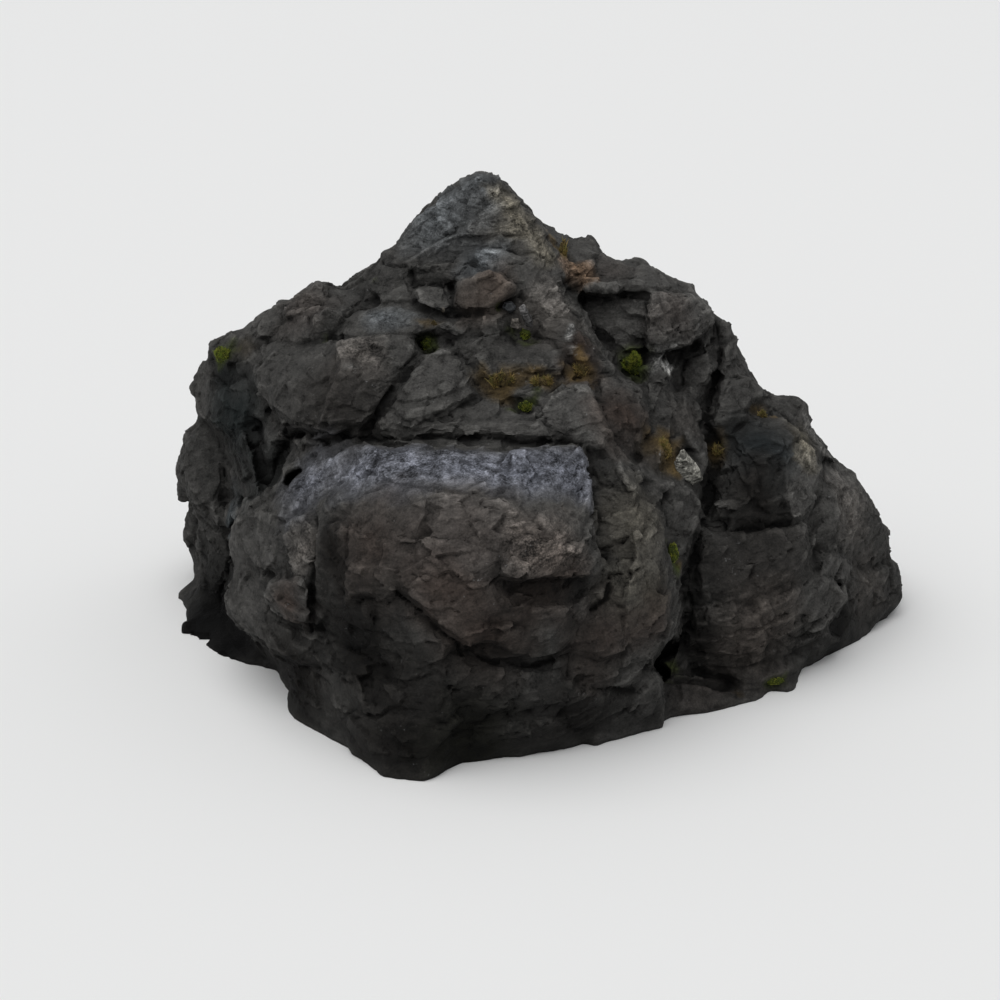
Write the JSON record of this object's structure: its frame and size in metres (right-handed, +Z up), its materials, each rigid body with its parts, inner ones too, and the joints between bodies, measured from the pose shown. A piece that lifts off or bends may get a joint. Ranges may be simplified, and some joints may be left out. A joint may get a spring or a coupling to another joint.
{
  "type": "mossy rock outcrop",
  "caption": "Weathered outcrop of dark jointed rock with a pointed top and a great front boulder, moss and dry grass in its cracks, cut flat to rest on the ground.",
  "frame": {"origin": "middle of the outcrop's footprint, on the flat cut that it rests on", "axes": "+Z up, +X along the long side to the viewer's right, the front with the great boulder faces -Y"},
  "size_m": [5.1132, 4.2956, 3.007],
  "materials": {
    "rock": "rough",
    "loose_stone": "rough",
    "moss": "soft",
    "dry_grass": "soft"
  },
  "bodies": {
    "root": {"rock": "rock", "chockstone": "loose_stone", "leaning_slab": "loose_stone", "leaning_slab_low": "loose_stone", "gully_stone": "loose_stone", "moss_west_ledge": "moss", "moss_pocket": "moss", "moss_chock": "moss", "moss_band": "moss", "moss_gully": "moss", "moss_lobe": "moss", "moss_foot": "moss", "grass_pocket": "dry_grass", "grass_slab": "dry_grass", "grass_twigs": "dry_grass", "grass_spur": "dry_grass", "grass_skyline": "dry_grass", "grass_gully": "dry_grass", "grass_joint": "dry_grass", "grass_head": "dry_grass"}
  },
  "joints": []
}
